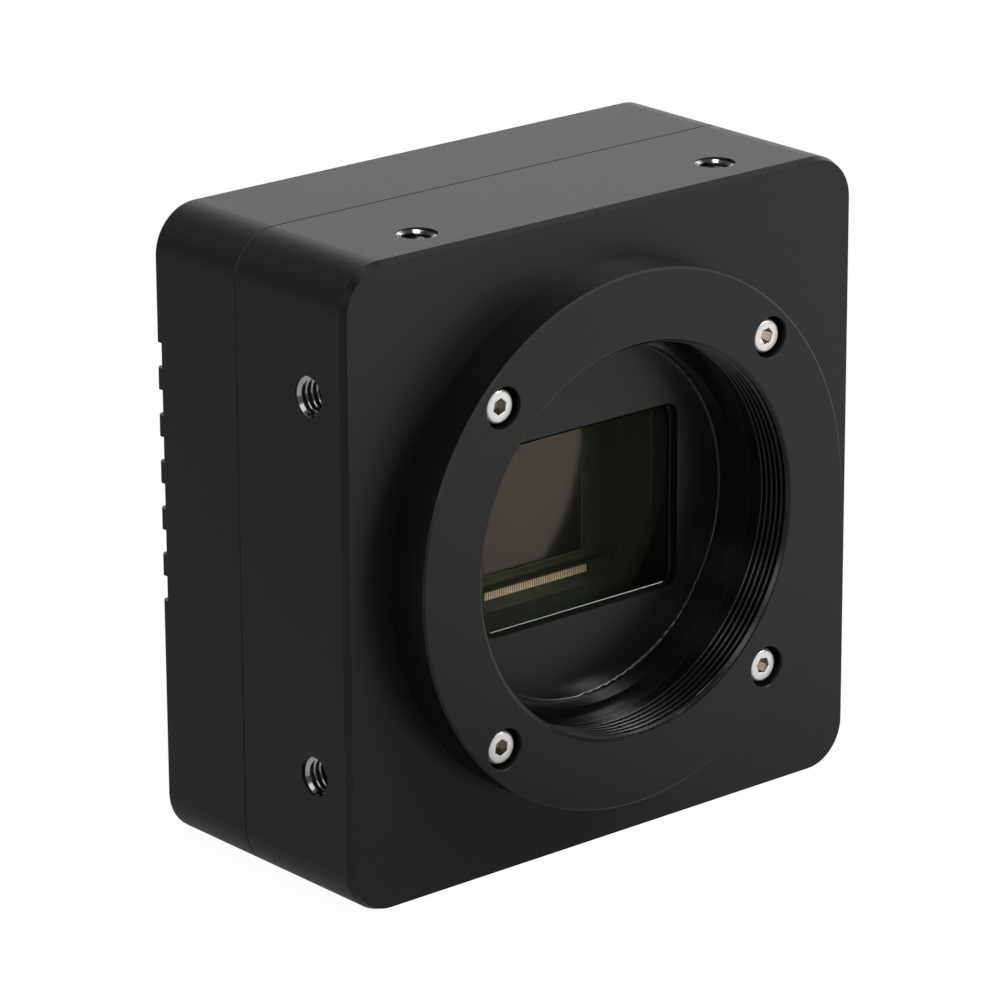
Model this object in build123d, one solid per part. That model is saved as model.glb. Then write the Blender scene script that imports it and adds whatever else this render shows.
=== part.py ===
from build123d import *
import os
from math import sqrt

# Microscope camera: a square anodised body in two shells with a round threaded lens mount on its front.
# Millimetres. The origin is where the optical axis meets the front face of the mount ring.
# +X is to the right as seen from the lens side, +Y runs back along the optical axis, +Z is up.

# Body
body_width = 68.0
body_height = 68.0
body_depth = 30.5
corner_radius = 5.0
side_wall = 3.0
front_shell_depth = 17.2
front_wall = 9.5
rear_wall = 3.0
front_bevel_depth = 0.9
front_bevel_width = 0.3
rear_bevel = 0.4
seam_break = 0.12
plane_tolerance = 0.001

# Lens mount ring, with a 42 mm thread of 0.75 mm pitch
ring_radius = 28.5
ring_thickness = 5.0
ring_bevel = 0.15
thread_major = 42.0
thread_pitch = 0.75
thread_depth_ratio = 0.5413
thread_length = 4.1
mouth_radius = 21.2
mouth_bevel_depth = 0.45
relief_radius = 21.15
spigot_radius = 23.0
spigot_length = 1.15
shim_thickness = 0.3
seat_clearance = 0.05

# Screws of the mount ring
mount_screw_spacing = 36.0
mount_screw_radius = 1.0
mount_screw_length = 8.0
mount_head_radius = 1.9
mount_head_height = 2.0
mount_head_recess = 0.6
mount_head_round = 0.15
mount_hex_flats = 1.5
mount_hex_depth = 1.0
counterbore_clearance = 0.3
shank_clearance = 0.12
tapped_clearance = 0.03
tapped_spare = 0.5

# Bore and window behind the ring
bore_radius = 19.25
bore_depth = 3.9
bore_floor_round = 0.25
aperture_width = 26.6
aperture_height = 20.2
aperture_radius = 1.6
lip_thickness = 0.6
window_lap = 2.0
window_thickness = 1.5
window_corner = 1.0
window_clearance = 0.15
seal_thickness = 0.15
bead_width = 0.35
bead_height = 0.3
bead_round = 0.24
chamber_gap_x = 3.0
chamber_gap_z = 1.0
chamber_corner = 3.0

# Image sensor, at the flange focal distance behind the ring's face
flange_focal_distance = 17.526
die_width = 14.6
die_height = 15.2
die_thickness = 0.674
die_side_gap = 3.25
die_shelf_gap = 0.5
package_wall_x = 4.45
package_wall_z = 4.08
package_rim_height = 1.626
package_floor = 0.7
cavity_corner = 2.2
shelf_height = 1.0
shelf_depth = 1.82
pad_row_width = 1.0
pad_row_inset = 0.72
pad_thickness = 0.1
cover_glass_lap_x = 4.25
cover_glass_lap_z = 3.88
cover_glass_thickness = 0.7
chamber_gasket_width = 2.0

# Boards
board_thickness = 1.6
board_margin = 1.5
post_gap = 0.3
board_gap = 4.0
standoff_spacing_x = 49.0
standoff_spacing_z = 38.0
standoff_flats = 4.0
standoff_stud_radius = 1.0
standoff_stud_length = 5.0
boss_radius = 2.6
board_screw_radius = 1.0
board_screw_length = 4.0
board_head_radius = 1.9
board_head_height = 1.3
plug_width = 22.0
plug_height = 5.0
plug_share = 0.5
plug_inset = 6.5
chip_size = 17.0
chip_thickness = 1.5
chip_rise = 8.0
memory_width = 9.0
memory_height = 13.0
memory_thickness = 1.1
memory_offset = 17.5
inductor_size = 4.2
inductor_height = 2.4
inductor_pitch = 8.0
inductor_inset = 5.5
thermal_pad_thickness = 1.0
heat_boss_margin = 0.5

# Threaded wire inserts in the four sides
insert_spacing = 40.0
insert_setback = 5.75
insert_hole_radius = 2.1
insert_bore_radius = 1.65
insert_length = 6.0
insert_sink = 0.05
insert_clearance = 0.02
insert_hole_spare = 0.6

# Cooling grooves across the rear
groove_count = 6
groove_pitch = 5.0
groove_width = 2.7
groove_depth = 1.0
groove_top_inset = 14.0

# Screws that hold the shells together, and the seal between them
shell_screw_inset = 5.5
shell_screw_radius = 1.25
shell_screw_length = 16.0
shell_head_radius = 2.25
shell_head_height = 2.5
shell_head_recess = 0.2
shell_hex_flats = 2.0
shell_hex_depth = 1.3
post_radius = 3.8
seal_inset = 1.0
seal_width = 0.9
seal_depth = 0.75
seal_side_gap = 0.05

# Connectors and light on the rear
connector_rise = 12.0
usb_offset = 14.0
usb_main_width = 7.2
usb_side_width = 4.6
usb_neck_width = 0.5
usb_height = 2.2
usb_corner_cut = 0.8
usb_wall = 0.3
usb_recess = 0.2
usb_gap = 0.2
usb_tongue_height = 0.6
usb_tongue_setback = 1.4
usb_lock_spacing = 18.0
usb_lock_radius = 0.8
usb_lock_depth = 2.0
socket_offset = 16.0
socket_hole_radius = 5.4
socket_gap = 0.1
socket_flange_radius = 6.8
socket_flange_thickness = 1.2
socket_reach = 3.0
socket_bore_radius = 4.4
socket_bore_depth = 8.6
socket_base = 0.8
socket_nut_flats = 14.0
socket_nut_thickness = 1.6
insert_face_depth = 8.0
pin_radius = 0.3
pin_height = 4.0
outer_pin_circle = 3.0
outer_pin_count = 8
inner_pin_circle = 1.3
inner_pin_count = 4
light_radius = 1.2
light_rise = 20.0
light_offset = 1.0
light_gap = 0.05
light_dome = 0.3

# Places along the optical axis
body_front = ring_thickness
seam = body_front + front_shell_depth
body_rear = body_front + body_depth
slab_rear = body_front + front_wall
rear_wall_front = body_rear - rear_wall
pocket_floor = body_front + spigot_length + shim_thickness
plate_front = body_front + bore_depth
plate_rear = plate_front + lip_thickness
window_front = plate_rear + seal_thickness
window_rear = window_front + window_thickness
package_floor_front = flange_focal_distance + die_thickness
package_front = flange_focal_distance - package_rim_height
package_rear = package_floor_front + package_floor
sensor_board_rear = package_rear + board_thickness
processor_board_front = sensor_board_rear + board_gap
processor_board_rear = processor_board_front + board_thickness
chip_rear = processor_board_rear + chip_thickness
heat_boss_front = chip_rear + thermal_pad_thickness

# Worked-out widths and radii
minor_radius = thread_major / 2 - thread_depth_ratio * thread_pitch
window_width = aperture_width + 2 * window_lap
window_height = aperture_height + 2 * window_lap
cavity_width = die_width + 2 * die_side_gap
cavity_height = die_height + 2 * (die_shelf_gap + shelf_depth)
cover_glass_width = cavity_width + 2 * cover_glass_lap_x
cover_glass_height = cavity_height + 2 * cover_glass_lap_z
package_width = cavity_width + 2 * package_wall_x
package_height = cavity_height + 2 * package_wall_z
chamber_width = package_width + 2 * chamber_gap_x
chamber_height = package_height + 2 * chamber_gap_z
cavity_inner_width = body_width - 2 * side_wall
cavity_inner_height = body_height - 2 * side_wall
shell_cavity_corner = corner_radius - side_wall
shell_screw_x = body_width / 2 - shell_screw_inset
shell_screw_z = body_height / 2 - shell_screw_inset
board_width = cavity_inner_width - 2 * board_margin
board_height = cavity_inner_height - 2 * board_margin
board_corner_cut = (
    sqrt(2) * (post_radius + post_gap) + board_width / 2 + board_height / 2 - shell_screw_x - shell_screw_z
)
plug_z = plug_inset - board_height / 2
inductor_z = board_height / 2 - inductor_inset
usb_x = -usb_offset
socket_x = socket_offset
connector_z = -body_height / 2 + connector_rise


def facing_front(y):
    """Plane across the optical axis at y, seen from the lens side."""
    return Plane(origin=(0, y, 0), x_dir=(1, 0, 0), z_dir=(0, -1, 0))


def along(sketch, y_start, y_end):
    """Sketch drawn in X and Z, extruded along the optical axis."""
    return extrude(facing_front(y_start) * sketch, amount=y_end - y_start, dir=(0, 1, 0))


def rod(x, z, radius, y_start, y_end):
    return along(Pos(x, z) * Circle(radius), y_start, y_end)


def block(width, height, y_start, y_end, x=0.0, z=0.0):
    return along(Pos(x, z) * Rectangle(width, height), y_start, y_end)


def rounded_block(width, height, radius, y_start, y_end):
    return along(RectangleRounded(width, height, radius), y_start, y_end)


def hexagon(flats):
    return RegularPolygon(flats / 2, 6, major_radius=False)


def corners(half_x, half_z):
    return [(sx * half_x, sz * half_z) for sx in (-1, 1) for sz in (-1, 1)]


def rim_edges(part, y):
    """Edges that lie wholly in the plane across the axis at y."""
    flat = part.edges().filter_by(Plane.XZ)
    return flat.filter_by_position(Axis.Y, y - plane_tolerance, y + plane_tolerance)


def axis_edges(part, y, radius):
    """Circular edges at y with the given radius."""
    circles = rim_edges(part, y).filter_by(GeomType.CIRCLE)
    return [e for e in circles if abs(e.radius - radius) < plane_tolerance]


def loop_edges(part, y, width, height, radius):
    """Edges at y that lie on a rounded rectangle of this size."""
    loop = ShapeList()
    for edge in rim_edges(part, y):
        if edge.geom_type == GeomType.CIRCLE:
            on_loop = abs(edge.radius - radius) < plane_tolerance
        else:
            middle = edge.center()
            off_x = abs(abs(middle.X) - width / 2)
            off_z = abs(abs(middle.Z) - height / 2)
            on_loop = min(off_x, off_z) < plane_tolerance
        if on_loop:
            loop.append(edge)
    return loop


def side_frames():
    """Planes on the four sides, each with its local X across the optical axis."""
    frames = []
    for sign in (-1, 1):
        x_face = Plane(origin=(sign * body_width / 2, 0, 0), x_dir=(0, 0, 1), z_dir=(sign, 0, 0))
        z_face = Plane(origin=(0, 0, sign * body_height / 2), x_dir=(1, 0, 0), z_dir=(0, 0, sign))
        frames += [x_face, z_face]
    return frames


def side_places():
    """Each side thread's plane, moved to the thread's mouth."""
    y = body_front + insert_setback
    places = []
    for frame in side_frames():
        for sign in (-1, 1):
            mouth = frame.origin + frame.x_dir * (sign * insert_spacing / 2) + Vector(0, y, 0)
            places.append(Plane(origin=mouth, x_dir=frame.x_dir, z_dir=frame.z_dir))
    return places


def drilled(place, radius, top, depth):
    """Cylinder sunk from top below the mouth to depth."""
    return extrude(place * (Pos(0, 0, -top) * Circle(radius)), amount=-(depth - top))


def shell_screw_places():
    return corners(shell_screw_x, shell_screw_z)


def mount_screw_places():
    return corners(mount_screw_spacing / 2, mount_screw_spacing / 2)


def standoff_places():
    return corners(standoff_spacing_x / 2, standoff_spacing_z / 2)


def shell_cavity(y_start, y_end):
    """Space inside the side walls, less the four corner posts."""
    space = rounded_block(cavity_inner_width, cavity_inner_height, shell_cavity_corner, y_start, y_end)
    for x, z in shell_screw_places():
        space -= rod(x, z, post_radius, y_start, y_end)
    return space


def seal_ring(width, side_gap, y_start, y_end):
    """Rounded square ring that runs round the middle of the side walls."""
    outer = seal_inset - side_gap
    inner = seal_inset + width + side_gap
    ring = RectangleRounded(body_width - 2 * outer, body_height - 2 * outer, corner_radius - outer)
    ring -= RectangleRounded(body_width - 2 * inner, body_height - 2 * inner, corner_radius - inner)
    return along(ring, y_start, y_end)


def make_front_housing():
    """Machined front shell: a thick front wall with the stepped bore, window pocket and sensor chamber."""
    bevel = front_bevel_width
    bevelled = RectangleRounded(body_width - 2 * bevel, body_height - 2 * bevel, corner_radius - bevel)
    outline = RectangleRounded(body_width, body_height, corner_radius)
    bevel_end = body_front + front_bevel_depth
    shell = loft([facing_front(body_front) * bevelled, facing_front(bevel_end) * outline])
    shell += along(outline, bevel_end, seam)
    shell = chamfer(rim_edges(shell, seam), seam_break)
    shell -= shell_cavity(slab_rear, seam)
    shell -= rod(0, 0, spigot_radius + seat_clearance, body_front, pocket_floor)
    bore = rod(0, 0, bore_radius, pocket_floor, plate_front)
    shell -= fillet(axis_edges(bore, plate_front, bore_radius), bore_floor_round)
    shell -= rounded_block(aperture_width, aperture_height, aperture_radius, plate_front, plate_rear)
    pocket_width = window_width + 2 * window_clearance
    pocket_height = window_height + 2 * window_clearance
    pocket_corner = window_corner + window_clearance
    shell -= rounded_block(pocket_width, pocket_height, pocket_corner, plate_rear, window_rear)
    shell -= rounded_block(chamber_width, chamber_height, chamber_corner, window_rear, slab_rear)
    for x, z in standoff_places():
        shell += rod(x, z, boss_radius, slab_rear, package_rear)
        stud_end = package_rear + board_thickness - standoff_stud_length
        shell -= rod(x, z, standoff_stud_radius + tapped_clearance, stud_end - tapped_spare, package_rear)
    for x, z in mount_screw_places():
        tip = mount_head_recess + mount_head_height + mount_screw_length
        shell -= rod(x, z, mount_screw_radius + tapped_clearance, body_front, tip + tapped_spare)
    for x, z in shell_screw_places():
        tip = body_rear - shell_head_recess - shell_head_height - shell_screw_length
        shell -= rod(x, z, shell_screw_radius + tapped_clearance, tip - tapped_spare, seam)
    for place in side_places():
        depth = insert_sink + insert_length + insert_hole_spare
        shell -= drilled(place, insert_hole_radius, 0, depth)
    shell -= seal_ring(seal_width, seal_side_gap, seam - seal_depth, seam)
    return shell


def make_rear_housing():
    """Machined rear shell: cooling grooves, screw posts, a boss over the processor and connector holes."""
    shell = rounded_block(body_width, body_height, corner_radius, seam, body_rear)
    shell = chamfer(rim_edges(shell, seam), seam_break)
    shell = chamfer(rim_edges(shell, body_rear), rear_bevel)
    shell -= shell_cavity(seam, rear_wall_front)
    boss = chip_size + 2 * heat_boss_margin
    shell += block(boss, boss, heat_boss_front, rear_wall_front, 0, chip_rise)
    first = body_height / 2 - groove_top_inset - groove_width / 2
    for i in range(groove_count):
        z = first - i * groove_pitch
        shell -= block(body_width, groove_width, body_rear - groove_depth, body_rear, 0, z)
    head_seat = body_rear - shell_head_recess - shell_head_height
    for x, z in shell_screw_places():
        shell -= rod(x, z, shell_screw_radius + shank_clearance, seam, head_seat)
        shell -= rod(x, z, shell_head_radius + counterbore_clearance, head_seat, body_rear)
    shell -= along(Pos(usb_x, connector_z) * usb_outline(usb_gap), rear_wall_front, body_rear)
    for sign in (-1, 1):
        x = usb_x + sign * usb_lock_spacing / 2
        shell -= rod(x, connector_z, usb_lock_radius, body_rear - usb_lock_depth, body_rear)
    shell -= rod(socket_x, connector_z, socket_hole_radius, rear_wall_front, body_rear)
    light_z = -body_height / 2 + light_rise
    shell -= rod(light_offset, light_z, light_radius + light_gap, rear_wall_front, body_rear)
    return shell


def make_housing_gasket():
    return seal_ring(seal_width, 0, seam - seal_depth, seam)


def cap_screw(x, z, radius, length, head_radius, head_height, head_round, flats, depth, top, way):
    """Socket head screw with its head's end face at top. way is 1 for a tip towards +Y, -1 for -Y."""
    seat = top + way * head_height
    head = rod(x, z, head_radius, min(top, seat), max(top, seat))
    head = fillet(axis_edges(head, top, head_radius), head_round)
    tip = seat + way * length
    screw = head + rod(x, z, radius, min(seat, tip), max(seat, tip))
    floor = top + way * depth
    return screw - along(Pos(x, z) * hexagon(flats), min(top, floor), max(top, floor))


def make_mount_ring_screws():
    return [
        cap_screw(
            x, z, mount_screw_radius, mount_screw_length, mount_head_radius, mount_head_height,
            mount_head_round, mount_hex_flats, mount_hex_depth, mount_head_recess, 1
        )
        for x, z in mount_screw_places()
    ]


def make_housing_screws():
    return [
        cap_screw(
            x, z, shell_screw_radius, shell_screw_length, shell_head_radius, shell_head_height,
            mount_head_round, shell_hex_flats, shell_hex_depth, body_rear - shell_head_recess, -1
        )
        for x, z in shell_screw_places()
    ]


def make_lens_mount_ring():
    """Turned ring: bevelled flange, spigot, threaded bore with a mouth bevel and a relief behind it."""
    spigot_end = ring_thickness + spigot_length
    profile = Polyline(
        (mouth_radius, 0),
        (ring_radius - ring_bevel, 0),
        (ring_radius, ring_bevel),
        (ring_radius, ring_thickness),
        (spigot_radius, ring_thickness),
        (spigot_radius, spigot_end),
        (relief_radius, spigot_end),
        (relief_radius, thread_length),
        (minor_radius, thread_length),
        (minor_radius, mouth_bevel_depth),
        close=True,
    )
    ring = revolve(make_face(profile), Axis.Y)
    head_seat = mount_head_recess + mount_head_height
    for x, z in mount_screw_places():
        ring -= rod(x, z, mount_head_radius + counterbore_clearance, 0, head_seat)
        ring -= rod(x, z, mount_screw_radius + shank_clearance, head_seat, ring_thickness)
    return ring


def make_focus_shim():
    start = ring_thickness + spigot_length
    return rod(0, 0, spigot_radius, start, pocket_floor) - rod(0, 0, relief_radius, start, pocket_floor)


def make_side_thread_inserts():
    outer = insert_hole_radius - insert_clearance
    end = insert_sink + insert_length
    return [
        drilled(place, outer, insert_sink, end) - drilled(place, insert_bore_radius, insert_sink, end)
        for place in side_places()
    ]


def make_window_glass():
    return rounded_block(window_width, window_height, window_corner, window_front, window_rear)


def make_window_seal():
    """Bond line under the lip, with a rounded bead that shows inside the aperture."""
    bead_front = window_front - bead_height
    inner_width = aperture_width - 2 * bead_width
    inner_height = aperture_height - 2 * bead_width
    inner_radius = aperture_radius - bead_width
    bead = rounded_block(aperture_width, aperture_height, aperture_radius, bead_front, window_front)
    opening = rounded_block(inner_width, inner_height, inner_radius, bead_front, window_front)
    bead -= opening
    bead = fillet(loop_edges(bead, bead_front, inner_width, inner_height, inner_radius), bead_round)
    bond = rounded_block(window_width, window_height, window_corner, plate_rear, window_front)
    bond -= rounded_block(aperture_width, aperture_height, aperture_radius, plate_rear, window_front)
    return bond + bead


def make_sensor_chamber_gasket():
    outer_width = chamber_width + 2 * chamber_gasket_width
    outer_height = chamber_height + 2 * chamber_gasket_width
    outer = rounded_block(
        outer_width, outer_height, chamber_corner + chamber_gasket_width, slab_rear, package_rear
    )
    return outer - rounded_block(chamber_width, chamber_height, chamber_corner, slab_rear, package_rear)


def make_sensor_package():
    """Ceramic body with a rounded cavity and a bonding shelf along its top and bottom."""
    body = block(package_width, package_height, package_front, package_rear)
    cavity = rounded_block(cavity_width, cavity_height, cavity_corner, package_front, package_floor_front)
    shelf_front = package_floor_front - shelf_height
    inner_height = cavity_height - 2 * shelf_depth
    keep = block(cavity_width, cavity_height, shelf_front, package_floor_front)
    keep -= block(cavity_width, inner_height, shelf_front, package_floor_front)
    return body - (cavity - keep)


def make_sensor_cover_glass():
    return block(cover_glass_width, cover_glass_height, package_front - cover_glass_thickness, package_front)


def make_sensor_die():
    return block(die_width, die_height, flange_focal_distance, package_floor_front)


def make_bond_pad_rows():
    shelf_front = package_floor_front - shelf_height
    z = cavity_height / 2 - pad_row_inset - pad_row_width / 2
    return [
        block(die_width, pad_row_width, shelf_front - pad_thickness, shelf_front, 0, sign * z)
        for sign in (-1, 1)
    ]


def board(y_start, y_end):
    """Board with cut corners that clear the posts, and holes at the standoffs."""
    outline = Rectangle(board_width, board_height)
    outline = chamfer(outline.vertices(), board_corner_cut)
    plate = along(outline, y_start, y_end)
    for x, z in standoff_places():
        plate -= rod(x, z, standoff_stud_radius + shank_clearance, y_start, y_end)
    return plate


def make_sensor_board():
    return board(package_rear, sensor_board_rear)


def make_processor_board():
    return board(processor_board_front, processor_board_rear)


def make_board_standoffs():
    """Hexagonal spacers, each with a stud into the front shell's boss and a tapped hole behind."""
    result = []
    for x, z in standoff_places():
        body = along(Pos(x, z) * hexagon(standoff_flats), sensor_board_rear, processor_board_front)
        body += rod(x, z, standoff_stud_radius, sensor_board_rear - standoff_stud_length, sensor_board_rear)
        hole_end = processor_board_rear - board_screw_length - tapped_spare
        body -= rod(x, z, board_screw_radius + tapped_clearance, hole_end, processor_board_front)
        result.append(body)
    return result


def make_board_screws():
    result = []
    for x, z in standoff_places():
        head_end = processor_board_rear + board_head_height
        tip = processor_board_rear - board_screw_length
        screw = rod(x, z, board_head_radius, processor_board_rear, head_end)
        screw += rod(x, z, board_screw_radius, tip, processor_board_rear)
        result.append(screw)
    return result


def make_board_link_plug():
    split = sensor_board_rear + plug_share * board_gap
    return block(plug_width, plug_height, sensor_board_rear, split, 0, plug_z)


def make_board_link_socket():
    split = sensor_board_rear + plug_share * board_gap
    return block(plug_width, plug_height, split, processor_board_front, 0, plug_z)


def make_processor_chip():
    return block(chip_size, chip_size, processor_board_rear, chip_rear, 0, chip_rise)


def make_memory_chips():
    end = processor_board_rear + memory_thickness
    return [
        block(memory_width, memory_height, processor_board_rear, end, sign * memory_offset, chip_rise)
        for sign in (-1, 1)
    ]


def make_power_inductors():
    end = processor_board_rear + inductor_height
    return [
        block(inductor_size, inductor_size, processor_board_rear, end, i * inductor_pitch, inductor_z)
        for i in (-1, 0, 1)
    ]


def make_thermal_pad():
    return block(chip_size, chip_size, chip_rear, heat_boss_front, 0, chip_rise)


def usb_outline(grow):
    """Two-part socket outline: a main part with two cut corners, a neck and a smaller side part."""
    main = Rectangle(usb_main_width + 2 * grow, usb_height + 2 * grow)
    low = main.vertices().sort_by(Axis.Y)[:2]
    main = chamfer(low, usb_corner_cut)
    side_shift = usb_main_width / 2 + usb_neck_width + usb_side_width / 2
    side = Pos(side_shift, 0) * Rectangle(usb_side_width + 2 * grow, usb_height + 2 * grow)
    neck = Pos(usb_main_width / 2, 0) * Rectangle(2 * usb_neck_width + 2 * grow, usb_height / 2 + 2 * grow)
    centre = (usb_neck_width + usb_side_width) / 2
    return Pos(-centre, 0) * (main + side + neck)


def make_usb_connector_shell():
    place = Pos(usb_x, connector_z)
    end = body_rear - usb_recess
    shell = along(place * usb_outline(0), processor_board_rear, end)
    return shell - along(place * usb_outline(-usb_wall), processor_board_rear + usb_wall, end)


def make_usb_connector_tongue():
    width = usb_main_width - 2 * usb_corner_cut - 2 * usb_wall
    centre = usb_x - (usb_neck_width + usb_side_width) / 2
    end = body_rear - usb_recess - usb_tongue_setback
    return block(width, usb_tongue_height, processor_board_rear + usb_wall, end, centre, connector_z)


def make_socket_shell():
    """Turned socket: flange against the rear face, barrel through the wall, blind bore from behind."""
    mouth = body_rear + socket_reach
    floor = mouth - socket_bore_depth
    shell = rod(socket_x, connector_z, socket_hole_radius - socket_gap, floor - socket_base, mouth)
    shell += rod(socket_x, connector_z, socket_flange_radius, body_rear, body_rear + socket_flange_thickness)
    return shell - rod(socket_x, connector_z, socket_bore_radius, floor, mouth)


def make_socket_nut():
    radius = socket_hole_radius - socket_gap + seat_clearance
    outline = Pos(socket_x, connector_z) * (hexagon(socket_nut_flats) - Circle(radius))
    return along(outline, rear_wall_front - socket_nut_thickness, rear_wall_front)


def make_socket_insert():
    mouth = body_rear + socket_reach
    floor = mouth - socket_bore_depth
    return rod(socket_x, connector_z, socket_bore_radius - seat_clearance, floor, mouth - insert_face_depth)


def make_socket_pins():
    start = body_rear + socket_reach - insert_face_depth
    place = Pos(socket_x, connector_z)
    pins = []
    circles = ((outer_pin_circle, outer_pin_count), (inner_pin_circle, inner_pin_count))
    for circle_radius, count in circles:
        for spot in PolarLocations(circle_radius, count):
            pins.append(along(place * spot * Circle(pin_radius), start, start + pin_height))
    return pins


def make_status_light():
    light_z = -body_height / 2 + light_rise
    light = rod(light_offset, light_z, light_radius, rear_wall_front, body_rear)
    return fillet(axis_edges(light, body_rear, light_radius), light_dome)


nodes = {
    "front_housing": make_front_housing,
    "rear_housing": make_rear_housing,
    "housing_gasket": make_housing_gasket,
    "housing_screws": make_housing_screws,
    "lens_mount_ring": make_lens_mount_ring,
    "mount_ring_screws": make_mount_ring_screws,
    "focus_shim": make_focus_shim,
    "side_thread_inserts": make_side_thread_inserts,
    "window_glass": make_window_glass,
    "window_seal": make_window_seal,
    "sensor_chamber_gasket": make_sensor_chamber_gasket,
    "sensor_package": make_sensor_package,
    "sensor_cover_glass": make_sensor_cover_glass,
    "sensor_die": make_sensor_die,
    "bond_pad_rows": make_bond_pad_rows,
    "sensor_board": make_sensor_board,
    "processor_board": make_processor_board,
    "board_standoffs": make_board_standoffs,
    "board_screws": make_board_screws,
    "board_link_plug": make_board_link_plug,
    "board_link_socket": make_board_link_socket,
    "processor_chip": make_processor_chip,
    "memory_chips": make_memory_chips,
    "power_inductors": make_power_inductors,
    "thermal_pad": make_thermal_pad,
    "usb_connector_shell": make_usb_connector_shell,
    "usb_connector_tongue": make_usb_connector_tongue,
    "socket_shell": make_socket_shell,
    "socket_nut": make_socket_nut,
    "socket_insert": make_socket_insert,
    "socket_pins": make_socket_pins,
    "status_light": make_status_light,
}

os.makedirs("parts", exist_ok=True)
for name, make in nodes.items():
    made = make()
    if isinstance(made, list):
        made = Compound(children=made)
    export_step(made, f"parts/{name}.step")
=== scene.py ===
"""Looks of the microscope camera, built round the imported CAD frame.

Shapes are given in millimetres and scaled to metres as each mesh is made. The optical axis is Y, the lens
side faces -Y and Z is up. The origin is where the axis meets the front face of the mount ring.
"""
import math
import bmesh
import bpy
from mathutils import Matrix, Vector


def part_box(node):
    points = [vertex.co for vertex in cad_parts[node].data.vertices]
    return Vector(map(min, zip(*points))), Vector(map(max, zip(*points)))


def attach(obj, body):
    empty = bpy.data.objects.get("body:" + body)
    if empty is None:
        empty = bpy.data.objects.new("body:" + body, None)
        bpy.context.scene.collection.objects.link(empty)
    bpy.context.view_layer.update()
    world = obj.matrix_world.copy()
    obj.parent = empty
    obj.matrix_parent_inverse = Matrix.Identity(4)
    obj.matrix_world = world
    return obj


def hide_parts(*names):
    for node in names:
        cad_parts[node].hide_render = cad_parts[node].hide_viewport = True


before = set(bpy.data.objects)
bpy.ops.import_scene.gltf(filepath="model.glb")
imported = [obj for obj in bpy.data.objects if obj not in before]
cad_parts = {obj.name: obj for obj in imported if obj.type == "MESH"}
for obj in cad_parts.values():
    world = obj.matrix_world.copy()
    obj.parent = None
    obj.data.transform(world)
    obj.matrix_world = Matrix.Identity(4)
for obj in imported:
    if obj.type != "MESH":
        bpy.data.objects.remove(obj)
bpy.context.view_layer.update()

MM = 0.001

# Sizes repeated from the CAD model
body_half = 34.0
body_front = 5.0
plate_front = 8.9
ring_radius = 28.5
ring_thickness = 5.0
spigot_radius = 23.0
spigot_end = 6.15
relief_radius = 21.15
thread_minor = 20.594
thread_major = 21.0
thread_pitch = 0.75
thread_end = 4.1
ring_screw_offset = 18.0
counterbore_radius = 2.2
head_top = 0.6
head_seat = 2.6
head_radius = 1.9
shank_radius = 1.0
shank_hole_radius = 1.1
screw_end = 10.6
hex_width = 1.5
insert_y = 10.75
insert_offset = 20.0
die_top = 17.526
shelf_top = 17.2
package_top = 15.9
window_front = 9.65
aperture_half_x = 13.3
aperture_half_z = 10.1
aperture_radius = 1.6

# Sizes of what only the looks have
mouth_radius = 21.02
mouth_face_radius = 21.21
mouth_edge = 0.08
glass_ior = 1.52
steps_per_pitch = 16
thread_edge = 0.1
# Internal thread along one pitch, as parts of it and radii: crest, rear flank, root, front flank, broken edge
thread_profile = [
    (0.0, thread_minor),
    (2 / 16, thread_minor),
    (8 / 16, thread_major),
    (12 / 16, thread_major),
    (14 / 16, thread_minor + thread_edge),
    (1.0, thread_minor),
]


# Mesh helpers

def circle(radius, y, columns, centre=(0.0, 0.0), turn=0.0):
    """Points of a circle round the Y axis, clockwise as the lens sees it."""
    points = []
    for i in range(columns):
        angle = turn + 2 * math.pi * i / columns
        points.append((centre[0] + radius * math.sin(angle), y, centre[1] + radius * math.cos(angle)))
    return points


def hexagon(width, y, columns, centre, turn):
    """Points of a hexagon round the Y axis, given its width across flats."""
    points = []
    for i in range(columns):
        angle = 2 * math.pi * i / columns
        corner = angle % (math.pi / 3) - math.pi / 6
        radius = width / 2 / math.cos(corner)
        x = centre[0] + radius * math.sin(angle + turn)
        z = centre[1] + radius * math.cos(angle + turn)
        points.append((x, y, z))
    return points


def outline(half_x, half_z, radius, y, per_corner=8):
    """Points of a rounded rectangle round the Y axis."""
    points = []
    for side, level, start in ((1, 1, 0), (1, -1, 90), (-1, -1, 180), (-1, 1, 270)):
        for i in range(per_corner + 1):
            angle = math.radians(start + 90 * i / per_corner)
            x = side * (half_x - radius) + radius * math.sin(angle)
            z = level * (half_z - radius) + radius * math.cos(angle)
            points.append((x, y, z))
    return points


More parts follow.
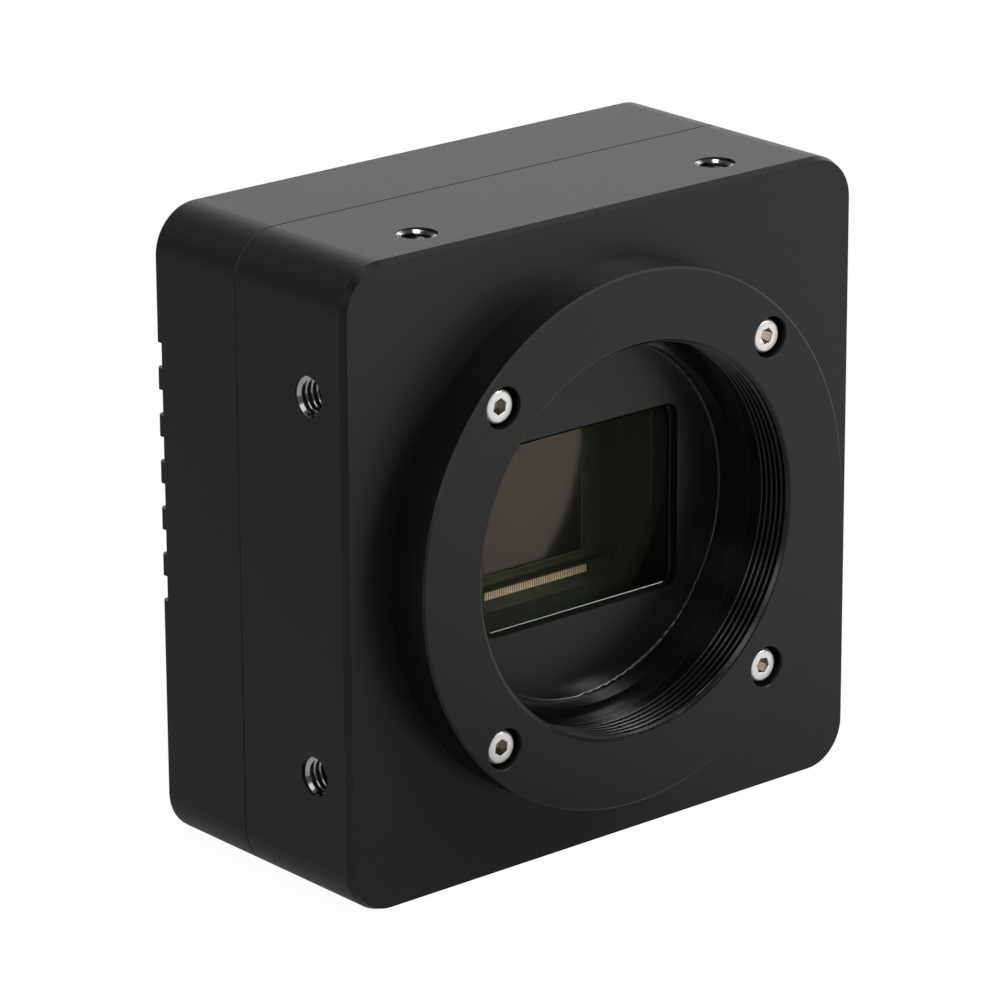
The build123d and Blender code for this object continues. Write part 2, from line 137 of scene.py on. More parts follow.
class Shape:
    """Points in millimetres and faces, gathered part by part and welded where they meet."""

    def __init__(self):
        self.points = []
        self.faces = []

    def add(self, points, faces):
        """Add points, and faces that count them from the first."""
        start = len(self.points)
        self.points += points
        self.faces += [[start + i for i in face] for face in faces]

    def skin(self, rows, shift=0):
        """Quads between closed rows of equal length. The last column meets the first one shift rows on."""
        columns = len(rows[0])
        points = [p for row in rows for p in row]
        faces = []
        for j in range(len(rows) - 1):
            for i in range(columns):
                k = i + 1
                a, b = j, j + 1
                if k == columns:
                    k = 0
                    a, b = j + shift, j + 1 + shift
                    if b >= len(rows):
                        continue
                faces.append((j * columns + i, (j + 1) * columns + i, b * columns + k, a * columns + k))
        self.add(points, faces)

    def lathe(self, profile, columns, centre=(0.0, 0.0)):
        """Surface swept round the Y axis by a profile of radii and places along Y."""
        self.skin([circle(r, y, columns, centre) for r, y in profile])

    def cap(self, loop):
        """Face that closes the loop."""
        self.add(loop, [list(range(len(loop)))])

    def box(self, low, high):
        """Block between two corners."""
        corners = [(x, y, z) for x in (low[0], high[0]) for y in (low[1], high[1]) for z in (low[2], high[2])]
        sides = [(0, 1, 3, 2), (4, 6, 7, 5), (0, 4, 5, 1), (2, 3, 7, 6), (0, 2, 6, 4), (1, 5, 7, 3)]
        self.add(corners, sides)

    def holed_ring(self, y, outer, inner, columns, centres, hole_radius, hole_columns):
        """Flat ring at y between two circles, with round holes in it."""
        mesh = bmesh.new()
        edges = []
        loops = [circle(outer, y, columns), circle(inner, y, columns)]
        loops += [circle(hole_radius, y, hole_columns, c) for c in centres]
        for loop in loops:
            corners = [mesh.verts.new(p) for p in loop]
            for i, corner in enumerate(corners):
                edges.append(mesh.edges.new((corner, corners[(i + 1) % len(corners)])))
        bmesh.ops.triangle_fill(mesh, edges=edges, use_beauty=True, normal=(0, -1, 0))
        mesh.verts.index_update()
        points = [tuple(v.co) for v in mesh.verts]
        self.add(points, [[v.index for v in f.verts] for f in mesh.faces])
        mesh.free()

    def piece(self, name, material, sharp=30.0, replaces=()):
        """The finished object, riding on the one body. Edges over the sharp angle in degrees stay crisp."""
        weld_distance, shortest_edge = 2e-7, 1e-8
        mesh = bpy.data.meshes.new(name)
        work = bmesh.new()
        corners = [work.verts.new((x * MM, y * MM, z * MM)) for x, y, z in self.points]
        for face in self.faces:
            work.faces.new([corners[i] for i in face])
        bmesh.ops.remove_doubles(work, verts=work.verts, dist=weld_distance)
        bmesh.ops.dissolve_degenerate(work, edges=work.edges, dist=shortest_edge)
        loose = [v for v in work.verts if not v.link_faces]
        bmesh.ops.delete(work, geom=loose, context="VERTS")
        bmesh.ops.recalc_face_normals(work, faces=work.faces)
        work.to_mesh(mesh)
        work.free()
        mesh.polygons.foreach_set("use_smooth", [True] * len(mesh.polygons))
        mesh.set_sharp_from_angle(angle=math.radians(sharp))
        mesh.materials.append(material)
        item = bpy.data.objects.new(name, mesh)
        bpy.context.scene.collection.objects.link(item)
        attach(item, "root")
        if replaces:
            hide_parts(*replaces)
        return item


# Node helpers

class Tree:
    """Node tree of a material or world, with short calls for the nodes that come up often."""

    def __init__(self, owner):
        owner.use_nodes = True
        self.nodes = owner.node_tree.nodes
        self.link = owner.node_tree.links.new

    def find(self, kind):
        return next(n for n in self.nodes if n.type == kind)

    def put(self, value, socket):
        """Set the socket to a number, or link it to another socket."""
        if isinstance(value, (int, float)):
            socket.default_value = value
        else:
            self.link(value, socket)

    def place(self, kind):
        """Texture coordinate of that kind, such as Object."""
        return self.nodes.new("ShaderNodeTexCoord").outputs[kind]

    def parts(self, vector):
        """X, Y and Z of the vector."""
        node = self.nodes.new("ShaderNodeSeparateXYZ")
        self.link(vector, node.inputs["Vector"])
        return node.outputs

    def map_range(self, value, source, target):
        """The value moved from one range to another and kept inside it."""
        node = self.nodes.new("ShaderNodeMapRange")
        node.inputs["From Min"].default_value, node.inputs["From Max"].default_value = source
        node.inputs["To Min"].default_value, node.inputs["To Max"].default_value = target
        self.link(value, node.inputs["Value"])
        return node.outputs["Result"]

    def ramp(self, value, stops):
        """Colour that the stops, each a position and a colour, give for the value."""
        node = self.nodes.new("ShaderNodeValToRGB")
        elements = node.color_ramp.elements
        for position, colour in stops[1:-1]:
            elements.new(position)
        for element, (position, colour) in zip(elements, stops):
            element.position = position
            element.color = (*colour, 1)
        self.link(value, node.inputs["Fac"])
        return node.outputs["Color"]

    def math(self, operation, first, second):
        node = self.nodes.new("ShaderNodeMath")
        node.operation = operation
        self.put(first, node.inputs[0])
        self.put(second, node.inputs[1])
        return node.outputs[0]

    def mix(self, share, first, second):
        """Value between the first and the second, which are numbers or sockets."""
        node = self.nodes.new("ShaderNodeMix")
        self.link(share, node.inputs[0])
        self.put(first, node.inputs[2])
        self.put(second, node.inputs[3])
        return node.outputs[0]

    def blend(self, share, first, second):
        """Blend of two shaders, in which the second has that share."""
        node = self.nodes.new("ShaderNodeMixShader")
        for value, socket in zip((share, first, second), node.inputs):
            self.link(value, socket)
        return node.outputs[0]

    def seen_by(self, weights):
        """Sum of the weights of the kinds of ray that see the surface, kept between 0 and 1."""
        path = self.nodes.new("ShaderNodeLightPath")
        total = 0.0
        for kind, weight in weights.items():
            node = self.nodes.new("ShaderNodeMath")
            node.operation = "MULTIPLY_ADD"
            node.use_clamp = True
            self.link(path.outputs[kind], node.inputs[0])
            node.inputs[1].default_value = weight
            self.put(total, node.inputs[2])
            total = node.outputs[0]
        return total


# Materials

def grey(level):
    return (level, level, level)


def surface(name, dark, light, grain, rough, bump=0.0, depth=0.01, metallic=0.0, specular=0.5):
    """Principled finish whose colour, roughness and height vary with noise of that grain size in mm."""
    noise_low, noise_high, noise_detail = 0.3, 0.7, 3.0
    material = bpy.data.materials.new(name)
    tree = Tree(material)
    shader = tree.find("BSDF_PRINCIPLED")
    shader.inputs["Metallic"].default_value = metallic
    shader.inputs["Specular IOR Level"].default_value = specular
    noise = tree.nodes.new("ShaderNodeTexNoise")
    noise.inputs["Scale"].default_value = 1 / (grain * MM)
    noise.inputs["Detail"].default_value = noise_detail
    tree.link(tree.place("Object"), noise.inputs["Vector"])
    value = noise.outputs["Fac"]
    tree.link(tree.ramp(value, [(noise_low, dark), (noise_high, light)]), shader.inputs["Base Color"])
    tree.link(tree.map_range(value, (noise_low, noise_high), rough), shader.inputs["Roughness"])
    if bump:
        relief = tree.nodes.new("ShaderNodeBump")
        relief.inputs["Strength"].default_value = bump
        relief.inputs["Distance"].default_value = depth * MM
        tree.link(value, relief.inputs["Height"])
        tree.link(relief.outputs["Normal"], shader.inputs["Normal"])
    return material


def deeper(material, start, end, colour, metallic):
    """Change the colour and metallic value along Y, from no change at start to the full change at end."""
    tree = Tree(material)
    shader = tree.find("BSDF_PRINCIPLED")
    share = tree.map_range(tree.parts(tree.place("Object"))["Y"], (start * MM, end * MM), (0.0, 1.0))
    mix = tree.nodes.new("ShaderNodeMixRGB")
    mix.inputs["Color2"].default_value = (*colour, 1)
    tree.link(share, mix.inputs["Fac"])
    tree.link(shader.inputs["Base Color"].links[0].from_socket, mix.inputs["Color1"])
    tree.link(mix.outputs["Color"], shader.inputs["Base Color"])
    front = shader.inputs["Metallic"].default_value
    tree.link(tree.map_range(share, (0.0, 1.0), (front, metallic)), shader.inputs["Metallic"])


def glossier(material, radius, start, rough):
    """Give the surface that lies inside the radius round the Y axis and behind start its own roughness."""
    radius_fade, depth_fade = 0.02, 0.01
    tree = Tree(material)
    socket = tree.find("BSDF_PRINCIPLED").inputs["Roughness"]
    parts = tree.parts(tree.place("Object"))
    across = tree.nodes.new("ShaderNodeCombineXYZ")
    tree.link(parts["X"], across.inputs["X"])
    tree.link(parts["Z"], across.inputs["Z"])
    reach = tree.nodes.new("ShaderNodeVectorMath")
    reach.operation = "LENGTH"
    tree.link(across.outputs[0], reach.inputs[0])
    inside = tree.map_range(reach.outputs["Value"], (radius * MM, (radius + radius_fade) * MM), (1.0, 0.0))
    behind = tree.map_range(parts["Y"], (start * MM, (start + depth_fade) * MM), (0.0, 1.0))
    share = tree.math("MULTIPLY", inside, behind)
    tree.link(tree.mix(share, socket.links[0].from_socket, rough), socket)


def coated_glass(name, dark, light, coating, share):
    """Clear glass whose faces reflect only a share of what bare glass would, in the coating's colour."""
    material = surface(name, dark, light, grain=6.0, rough=(0.0, 0.0))
    tree = Tree(material)
    shader = tree.find("BSDF_PRINCIPLED")
    bend = tree.nodes.new("ShaderNodeBsdfRefraction")
    bend.inputs["IOR"].default_value = glass_ior
    bend.inputs["Roughness"].default_value = 0.0
    tree.link(shader.inputs["Base Color"].links[0].from_socket, bend.inputs["Color"])
    tree.nodes.remove(shader)
    shine = tree.nodes.new("ShaderNodeBsdfAnisotropic")
    shine.inputs["Roughness"].default_value = 0.0
    shine.inputs["Color"].default_value = (*coating, 1)
    fresnel = tree.nodes.new("ShaderNodeFresnel")
    fresnel.inputs["IOR"].default_value = glass_ior
    reflected = tree.math("MULTIPLY", fresnel.outputs["Fac"], share)
    glass = tree.blend(reflected, bend.outputs[0], shine.outputs[0])
    tree.link(glass, tree.find("OUTPUT_MATERIAL").inputs["Surface"])
    return material


# Black anodised metal, glossier in its turned bores than on its blasted outside
body_black = surface("body_black", grey(0.0030), (0.0052, 0.0052, 0.0050), 0.16, (0.36, 0.44),
                     bump=0.3, depth=0.012, specular=0.45)
glossier(body_black, radius=23.6, start=body_front + 0.2, rough=0.18)
glossier(body_black, radius=23.6, start=plate_front - 0.1, rough=0.30)
ring_black = surface("ring_black", grey(0.0026), (0.0046, 0.0046, 0.0044), 0.12, (0.34, 0.42),
                     bump=0.12, depth=0.008, specular=0.45)
glossier(ring_black, radius=21.3, start=0.002, rough=0.24)
shim_black = surface("shim_black", grey(0.006), grey(0.010), 0.3, (0.25, 0.35))

# Steel, nickel and gold
bright_steel = surface("bright_steel", (0.66, 0.65, 0.63), (0.74, 0.73, 0.71), 0.25, (0.32, 0.42),
                       metallic=0.6)
# Ring screw heads: painted light, a base brighter than steel's own, and painted shade, dark brown deeper in
# along the rounded edge and the side in the counterbore.
head_steel_painted_light_and_shade = surface("head_steel_painted_light_and_shade", (0.93, 0.92, 0.90), (0.98, 0.97, 0.95), 0.25, (0.30, 0.40), metallic=0.7)
deeper(head_steel_painted_light_and_shade, start=head_top + 0.3, end=head_top + 0.5, colour=(0.34, 0.29, 0.24), metallic=1.0)
# Painted shade: the screws' hex sockets, darker and browner than the heads.
socket_steel_painted_shade = surface("socket_steel_painted_shade", (0.46, 0.41, 0.36), (0.52, 0.47, 0.42), 0.3, (0.18, 0.26),
                       metallic=1.0)
wire_steel = surface("wire_steel", (0.66, 0.66, 0.65), (0.80, 0.80, 0.79), 0.3, (0.10, 0.18), metallic=1.0)
nickel = surface("nickel_look", (0.60, 0.58, 0.53), (0.70, 0.68, 0.63), 0.4, (0.2, 0.3), metallic=1.0)
plug_steel = surface("plug_steel_look", grey(0.5), grey(0.6), 0.5, (0.22, 0.34), metallic=1.0)
socket_nickel = surface("socket_nickel", (0.55, 0.55, 0.54), (0.65, 0.65, 0.64), 0.4, (0.2, 0.3),
                        metallic=1.0)
gold = surface("gold_look", (0.85, 0.62, 0.25), (0.95, 0.74, 0.36), 0.2, (0.22, 0.34), metallic=1.0)
pad_gold = surface("pad_gold", (0.97, 0.76, 0.58), (1.0, 0.80, 0.62), 0.5, (0.45, 0.55), metallic=0.35)
trim_gold = surface("trim_gold", (0.26, 0.22, 0.10), (0.34, 0.29, 0.14), 0.2, (0.3, 0.4), metallic=1.0)
wire_bronze = surface("wire_bronze", (0.30, 0.21, 0.15), (0.38, 0.27, 0.19), 0.2, (0.3, 0.4), metallic=1.0)

# Rubber, plastic, boards and chips
rubber_black = surface("rubber_black", grey(0.015), grey(0.025), 0.4, (0.55, 0.7), bump=0.2)
bead_gloss = surface("bead_gloss", grey(0.002), grey(0.003), 0.6, (0.08, 0.14), specular=0.25)
bond_black = surface("bond_black", grey(0.002), grey(0.004), 0.4, (0.5, 0.6), bump=0.1, specular=0.1)
board_mask = surface("board_mask", (0.010, 0.045, 0.022), (0.018, 0.075, 0.035), 1.5, (0.3, 0.45), bump=0.1)
plug_plastic = surface("plug_plastic", grey(0.012), grey(0.02), 0.3, (0.4, 0.55), bump=0.1)
chip_epoxy = surface("chip_epoxy", (0.02, 0.02, 0.021), (0.032, 0.032, 0.033), 0.15, (0.5, 0.65), bump=0.15)
ferrite_grey = surface("ferrite_grey", (0.05, 0.05, 0.052), (0.09, 0.09, 0.092), 0.25, (0.5, 0.7), bump=0.2)
pad_grey = surface("pad_grey", (0.25, 0.28, 0.32), (0.33, 0.36, 0.40), 0.5, (0.6, 0.8), bump=0.2)
light_green = surface("light_green", (0.45, 0.6, 0.45), (0.55, 0.7, 0.55), 0.5, (0.2, 0.35))

# Image sensor and glass
ceramic = surface("ceramic_look", (0.014, 0.019, 0.013), (0.019, 0.025, 0.017), 0.2, (0.35, 0.5), bump=0.1)
deeper(ceramic, start=package_top + 0.1, end=package_top + 0.3, colour=(0.006, 0.006, 0.003), metallic=0.0)
die_edge = surface("die_edge", (0.035, 0.036, 0.026), (0.055, 0.055, 0.040), 0.3, (0.15, 0.25), metallic=0.5)
pixel_array = surface("pixel_array", (0.132, 0.105, 0.119), (0.138, 0.111, 0.125), 0.5, (0.08, 0.12),
                      metallic=1.0)
window_clear = coated_glass("window_clear", (0.895, 0.89, 0.845), (0.905, 0.90, 0.855), (0.84, 1.0, 0.78),
                            share=0.10)
cover_clear = coated_glass("cover_clear", (0.98, 0.99, 0.97), (0.985, 0.995, 0.975), (0.90, 1.0, 0.80),
                           share=0.005)

node_finish = {
    "front_housing": body_black,
    "rear_housing": body_black,
    "housing_gasket": rubber_black,
    "housing_screws": bright_steel,
    "focus_shim": shim_black,
    "window_glass": window_clear,
    "sensor_chamber_gasket": rubber_black,
    "sensor_package": ceramic,
    "sensor_die": die_edge,
    "sensor_board": board_mask,
    "processor_board": board_mask,
    "board_standoffs": nickel,
    "board_screws": bright_steel,
    "board_link_plug": plug_plastic,
    "board_link_socket": plug_plastic,
    "processor_chip": chip_epoxy,
    "memory_chips": chip_epoxy,
    "power_inductors": ferrite_grey,
    "thermal_pad": pad_grey,
    "usb_connector_shell": plug_steel,
    "usb_connector_tongue": plug_plastic,
    "socket_shell": socket_nickel,
    "socket_nut": nickel,
    "socket_insert": plug_plastic,
    "socket_pins": gold,
    "status_light": light_green,
}
for node, finish in node_finish.items():
    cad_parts[node].material_slots[0].material = finish
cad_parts["window_glass"].visible_shadow = False


# Lens mount ring with its thread

def thread_radius(phase):
    """Radius of the internal thread's surface at that part of a pitch."""
    phase %= 1.0
    for (start, first), (end, last) in zip(thread_profile, thread_profile[1:]):
        if phase <= end:
            return first + (last - first) * (phase - start) / (end - start)


def thread_rows(columns):
    """Rows of the threaded bore, each a turn of the helix, cut off at the mouth and at the relief."""
    rows = []
    turns = math.ceil(thread_end / thread_pitch) + 2
    for j in range(turns * steps_per_pitch + 1):
        phase = j / steps_per_pitch
        row = []
        for i in range(columns):
            angle = 2 * math.pi * i / columns
            y = (phase - 1 + i / columns) * thread_pitch
            if y <= mouth_edge:
                y, radius = mouth_edge, mouth_radius
            elif y >= thread_end:
                y, radius = thread_end, thread_radius(thread_end / thread_pitch - i / columns)
            else:
                bevel_radius = mouth_radius + mouth_edge - y
                radius = max(thread_radius(phase), bevel_radius)
            row.append((radius * math.sin(angle), y, radius * math.cos(angle)))
        rows.append(row)
    return rows


def make_ring():
    """Turned ring with its thread, its bevelled mouth and four counterbored screw holes."""
    columns, hole_columns = 288, 48
    hole_edge, outer_edge = 0.06, 0.22
    face_radius = ring_radius - outer_edge
    hole_rim = counterbore_radius + hole_edge
    sides = (-ring_screw_offset, ring_screw_offset)
    centres = [(x, z) for x in sides for z in sides]
    ring = Shape()
    rows = thread_rows(columns)
    ring.skin(rows, shift=steps_per_pitch)
    ring.skin([rows[-1], circle(relief_radius, thread_end, columns)])
    ring.lathe([(mouth_face_radius, 0), (mouth_radius, mouth_edge)], columns)
    ring.lathe([(relief_radius, thread_end), (relief_radius, spigot_end), (spigot_radius, spigot_end),
                (spigot_radius, ring_thickness)], columns)
    ring.lathe([(ring_radius, ring_thickness), (ring_radius, outer_edge), (face_radius, 0)], columns)
    ring.holed_ring(0, face_radius, mouth_face_radius, columns, centres, hole_rim, hole_columns)
    ring.holed_ring(ring_thickness, ring_radius, spigot_radius, columns, centres, shank_hole_radius,
                    hole_columns)
    for centre in centres:
        ring.lathe([(hole_rim, 0), (counterbore_radius, hole_edge),
                    (counterbore_radius, head_seat), (shank_hole_radius, head_seat),
                    (shank_hole_radius, ring_thickness)], hole_columns, centre)
    ring.piece("threaded_mount_ring", ring_black, sharp=20.0, replaces=["lens_mount_ring"])


make_ring()


# Ring screws, each with its own turn of the hexagon

def make_ring_screw(name, centre, turn):
    """Socket head screw whose hexagon is turned by so many degrees."""
    columns = 48
    turn = math.radians(turn)
    rim = head_radius - 0.08
    socket_width, flare_width = hex_width + 0.04, hex_width + 0.13
    socket_depth, flare_depth = 0.8, 0.05
    tip_bevel = 0.2
    # Rounding of the head, as insets from its rim and depths below its top
    rounding = [(0.33, 0.0), (0.23, 0.04), (0.14, 0.12), (0.05, 0.28), (0.0, 0.5)]
    floor = head_top + socket_depth
    rows = [[(centre[0], floor, centre[1])] * columns]
    rows.append(hexagon(socket_width, floor, columns, centre, turn))
    rows.append(hexagon(socket_width, head_top + flare_depth, columns, centre, turn))
    rows.append(hexagon(flare_width, head_top, columns, centre, turn))
    profile = [(rim - inset, head_top + depth) for inset, depth in rounding]
    profile += [(rim, head_seat), (shank_radius, head_seat), (shank_radius, screw_end - tip_bevel),
                (shank_radius - tip_bevel, screw_end), (0, screw_end)]
    rows += [circle(r, y, columns, centre, turn) for r, y in profile]
    screw = Shape()
    screw.skin(rows)
    item = screw.piece(name, head_steel_painted_light_and_shade, sharp=28.0, replaces=["mount_ring_screws"])
    # Faces inside the hex socket, below the flare, take the painted shade.
    item.data.materials.append(socket_steel_painted_shade)
    for face in item.data.polygons:
        x, y, z = face.center / MM
        below_flare = head_top + 0.03 < y < floor + 0.01
        in_socket = math.hypot(x - centre[0], z - centre[1]) < hex_width * 0.6
        face.material_index = int(below_flare and in_socket)


screw_turns = {
    "upper_left": (-1, 1, 10),
    "upper_right": (1, 1, 22),
    "lower_left": (-1, -1, 5),
    "lower_right": (1, -1, 40),
}
for place, (side, level, turn) in screw_turns.items():
    make_ring_screw("ring_screw_" + place, (side * ring_screw_offset, level * ring_screw_offset), turn)


# Wire inserts in the side holes

def make_coil(name, mouth, across, inward, sink, turn):
    """Coil of diamond wire in a hole.

    Mouth is on the face, inward is the hole's direction and across is where the wire starts at no turn.
    Sink is how far in the coil starts.
    """
    pitch, length, per_turn = 0.7, 6.0, 40
    half_wire = 0.3
    # Corners of the wire, as radii in the hole and shifts along it
    section = [(1.63, -0.05), (1.63, 0.05), (2.02, 0.29), (2.14, 0.29), (2.42, 0.06), (2.42, -0.06),
               (2.14, -0.29), (2.02, -0.29)]
    mouth, across, inward = Vector(mouth), Vector(across), Vector(inward)
    other = inward.cross(across)
    rows = []
    for i in range(round((length - sink - 2 * half_wire) / pitch * per_turn) + 1):
        angle = turn + 2 * math.pi * i / per_turn
        depth = sink + half_wire + pitch * i / per_turn
        out = across * math.cos(angle) + other * math.sin(angle)
        rows.append([tuple(mouth + out * r + inward * (depth + d)) for r, d in section])
    coil = Shape()
    coil.skin(rows)
    coil.cap(rows[0])
    coil.cap(rows[-1])
    coil.piece(name, wire_steel, sharp=25.0, replaces=["side_thread_inserts"])


side_turn, top_turn = 3.3, 3.5
lower_left_sink = 0.27
for sign, side in ((-1, "left"), (1, "right")):
    for level, height in ((1, "upper"), (-1, "lower")):
        sink = lower_left_sink if (sign, level) == (-1, -1) else 0.0
        mouth = (sign * body_half, insert_y, level * insert_offset)
        make_coil("coil_" + side + "_" + height, mouth, (0, 0, 1), (-sign, 0, 0), sink, side_turn)
for sign, side in ((1, "top"), (-1, "bottom")):
    for level, across in ((-1, "left"), (1, "right")):
        mouth = (level * insert_offset, insert_y, sign * body_half)
        make_coil("coil_" + side + "_" + across, mouth, (1, 0, 0), (0, 0, -sign), 0.0, top_turn)


# Window seal: a matt bond and the shiny bead along its inner side

def seal_loop(inset, height):
    """Loop inside the aperture's outline, so far in and so far in front of the window."""
    smallest_radius = 0.2
    radius = max(aperture_radius - inset, smallest_radius)
    return outline(aperture_half_x - inset, aperture_half_z - inset, radius, window_front - height)


def make_window_seal():
    bond_width = 0.36
    # Insets from the edge of each and heights in front of the window
    bond_profile = [(0.0, 0.0), (0.0, 0.08), (bond_width, 0.05), (bond_width, 0.0), (0.0, 0.0)]
    bead_profile = [(0.0, 0.0), (0.0, 0.06), (0.02, 0.072), (0.11, 0.018), (0.15, 0.0), (0.0, 0.0)]
    bond = Shape()
    bond.skin([seal_loop(inset, height) for inset, height in bond_profile])
    bond.piece("window_bond", bond_black, replaces=["window_seal"])
    bead = Shape()
    bead.skin([seal_loop(bond_width + inset, height) for inset, height in bead_profile])
    bead.piece("window_bead", bead_gloss, sharp=25.0, replaces=["window_seal"])


make_window_seal()


# Image sensor details

def make_pixel_array():
    half, rise, sunk = 6.65, 0.004, 0.01
    array = Shape()
    array.box((-half, die_top - rise, -half), (half, die_top + sunk, half))
    array.piece("pixel_array", pixel_array)


def make_sensor_contacts():
    """Bright border and pads of the chip, the package's pads and the wires between them."""
    border_half, border_width, border_rise = 6.72, 0.03, 0.006
    die_pad_near, die_pad_far, die_pad_half, die_pad_rise = 7.34, 7.46, 0.05, 0.012
    sunk = 0.01
    pad_near, pad_far, pad_half, pad_depth = 8.3, 9.1, 0.058, 0.1
    count, step = 47, 0.3
    wire_radius = 0.014
    wire_path = [(die_top - 0.01, 7.40), (die_top - 0.22, 7.50), (die_top - 0.34, 7.75),
                 (die_top - 0.42, 8.1), (shelf_top - 0.2, 8.4), (shelf_top - 0.1, 8.6)]
    trim = Shape()
    for sign in (-1, 1):
        near, far = sorted((sign * border_half, sign * (border_half + border_width)))
        trim.box((near, die_top - border_rise, -border_half), (far, die_top + sunk, border_half))
        trim.box((-border_half, die_top - border_rise, near), (border_half, die_top + sunk, far))
    pads = Shape()
    wires = Shape()
    for level in (-1, 1):
        for i in range(count):
            x = (i - (count - 1) / 2) * step
            near, far = sorted((level * pad_near, level * pad_far))
            pads.box((x - pad_half, shelf_top - pad_depth, near), (x + pad_half, shelf_top, far))
            near, far = sorted((level * die_pad_near, level * die_pad_far))
            trim.box((x - die_pad_half, die_top - die_pad_rise, near), (x + die_pad_half, die_top + sunk, far))
            rows = []
            for y, z in wire_path:
                rows.append([(x + wire_radius * math.cos(a), y + wire_radius * math.sin(a), level * z)
                             for a in (0.0, 2 * math.pi / 3, 4 * math.pi / 3)])
            wires.skin(rows)
            wires.cap(rows[0])
            wires.cap(rows[-1])
    trim.piece("array_border", trim_gold)
    pads.piece("bond_pads", pad_gold, replaces=["bond_pad_rows"])
    wires.piece("bond_wires", wire_bronze, sharp=80.0)


def make_lid_glass():
    """Cover glass of the sensor, whose cut sides are dull."""
    low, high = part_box("sensor_cover_glass")
    lid = Shape()
    lid.box([c / MM for c in low], [c / MM for c in high])
    item = lid.piece("sensor_lid_glass", cover_clear, replaces=["sensor_cover_glass"])
    item.data.materials.append(ceramic)
    for face in item.data.polygons:
        face.material_index = int(abs(face.normal.y) < 0.5)
    item.visible_shadow = False


make_pixel_array()
make_sensor_contacts()
make_lid_glass()


# Studio: floor, world, lamps and camera. Distances are in metres.

def stage_floor():
    """Pale floor, which metal and glass see as a grey glow of painted shade and light, darkest under the
    object and lighter to the right.
    """
    half_size, gap = 6.0, 0.0001
    z = -body_half * MM - gap
    corners = [(-half_size, -half_size, z), (half_size, -half_size, z), (half_size, half_size, z),
               (-half_size, half_size, z)]
    mesh = bpy.data.meshes.new("studio_floor")
    mesh.from_pydata(corners, [], [(0, 1, 2, 3)])
    floor = bpy.data.objects.new("studio_floor", mesh)
    bpy.context.scene.collection.objects.link(floor)

    white_share = 0.97
    reach = 0.2
    front_end, rear_level = -0.06, 0.85
    # Painted shade and light for reflections: glow levels across X, darkest under the object and lighter to
    # the right, and along Y a little darker from the front towards the object.
    levels = [(0.0, 0.38), (0.25, 0.37), (0.37, 0.42), (0.48, 0.28), (0.55, 0.54), (0.65, 0.70), (0.9, 0.76)]
    material = surface("floor_white", grey(0.86), grey(0.88), 40.0, (0.8, 0.9))
    tree = Tree(material)
    glow = tree.nodes.new("ShaderNodeEmission")
    glow.inputs["Strength"].default_value = 1.0
    plain = tree.find("BSDF_PRINCIPLED").outputs[0]
    seen = tree.blend(tree.seen_by({"Is Camera Ray": white_share}), plain, glow.outputs[0])
    parts = tree.parts(tree.place("Object"))
    across = tree.map_range(parts["X"], (-reach, reach), (0.0, 1.0))
    level = tree.ramp(across, [(position, grey(value)) for position, value in levels])
    ahead = tree.map_range(parts["Y"], (front_end, 0.0), (1.0, rear_level))
    painted_floor_glow = tree.nodes.new("ShaderNodeEmission")
    tree.link(tree.math("MULTIPLY", level, ahead), painted_floor_glow.inputs["Strength"])
    reflections = tree.seen_by({"Is Glossy Ray": 1.0, "Is Transmission Ray": 1.0})
    whole = tree.blend(reflections, seen, painted_floor_glow.outputs[0])
    tree.link(whole, tree.find("OUTPUT_MATERIAL").inputs["Surface"])
    mesh.materials.append(material)


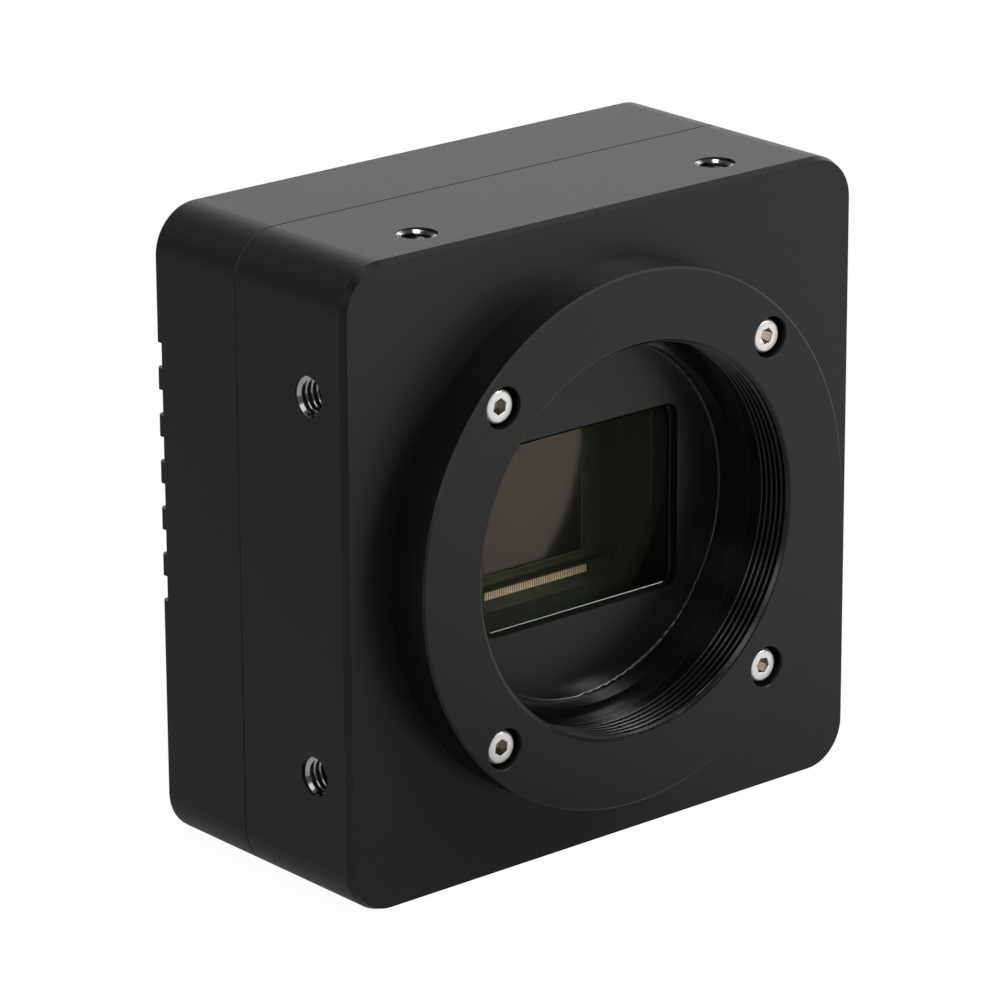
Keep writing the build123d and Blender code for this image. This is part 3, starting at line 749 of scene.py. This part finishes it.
def stage_world():
    """World that is white to the camera. Metal and glass see it bright only low down, behind at the right."""
    bright_side = (0.624, 0.755, 0.201)
    diffuse_level = 0.2
    facing_range, facing_levels = (0.3, 0.95), (0.08, 1.2)
    height_range, height_levels = (0.40, 0.66), (1.0, 0.10)
    world = bpy.data.worlds.new("studio")
    bpy.context.scene.world = world
    tree = Tree(world)
    back = tree.find("BACKGROUND")
    back.inputs["Color"].default_value = (1, 1, 1, 1)
    direction = tree.place("Generated")
    facing = tree.nodes.new("ShaderNodeVectorMath")
    facing.operation = "DOT_PRODUCT"
    facing.inputs[1].default_value = bright_side
    tree.link(direction, facing.inputs[0])
    bright = tree.map_range(facing.outputs["Value"], facing_range, facing_levels)
    low = tree.map_range(tree.parts(direction)["Z"], height_range, height_levels)
    reflections = tree.seen_by({"Is Glossy Ray": 1.0, "Is Transmission Ray": 1.0})
    level = tree.mix(reflections, diffuse_level, tree.math("MULTIPLY", bright, low))
    tree.link(tree.math("MAXIMUM", level, tree.seen_by({"Is Camera Ray": 1.0})), back.inputs["Strength"])


def make_lamp(name, place, side, power):
    """Square lamp aimed at the middle of the object."""
    aim = Vector((0, 0.02, 0))
    data = bpy.data.lights.new(name, "AREA")
    data.shape = "SQUARE"
    data.size = side
    data.energy = power
    item = bpy.data.objects.new(name, data)
    item.location = place
    item.rotation_euler = (aim - Vector(place)).to_track_quat("-Z", "Y").to_euler()
    bpy.context.scene.collection.objects.link(item)


def make_camera():
    """Camera solved from the photo's edges. The target and distance are in millimetres."""
    focal_length = 199.93
    target, distance = Vector((0.210, 22.0, -1.206)), 579.95
    yaw, pitch, roll = math.radians(-40.482), math.radians(18.737), math.radians(-0.265)
    data = bpy.data.cameras.new("camera")
    data.sensor_width = 36.0
    data.lens = focal_length
    data.clip_start, data.clip_end = 0.01, 50.0
    item = bpy.data.objects.new("camera", data)
    bpy.context.scene.collection.objects.link(item)
    back = Vector((math.sin(yaw) * math.cos(pitch), -math.cos(yaw) * math.cos(pitch), math.sin(pitch)))
    side = Vector((math.cos(yaw), math.sin(yaw), 0))
    up = back.cross(side)
    right = side * math.cos(roll) + up * math.sin(roll)
    top = up * math.cos(roll) - side * math.sin(roll)
    turn = Matrix((right, top, back)).transposed().to_4x4()
    item.matrix_world = Matrix.Translation((target + back * distance) * MM) @ turn
    bpy.context.scene.camera = item


stage_floor()
stage_world()
make_lamp("overhead_box", (0.0, -0.1, 0.8), side=0.5, power=2.5)
make_lamp("right_box", (0.44, -0.44, 0.40), side=0.2, power=3.8)
make_lamp("left_front_box", (-0.29, -0.53, 0.53), side=0.25, power=0.55)
make_lamp("left_low_box", (-0.5, -0.52, 0.21), side=0.22, power=0.42)
make_lamp("left_card", (-0.6, 0.2, 0.33), side=0.3, power=0.22)
make_camera()
bpy.context.scene.view_settings.view_transform = "Standard"
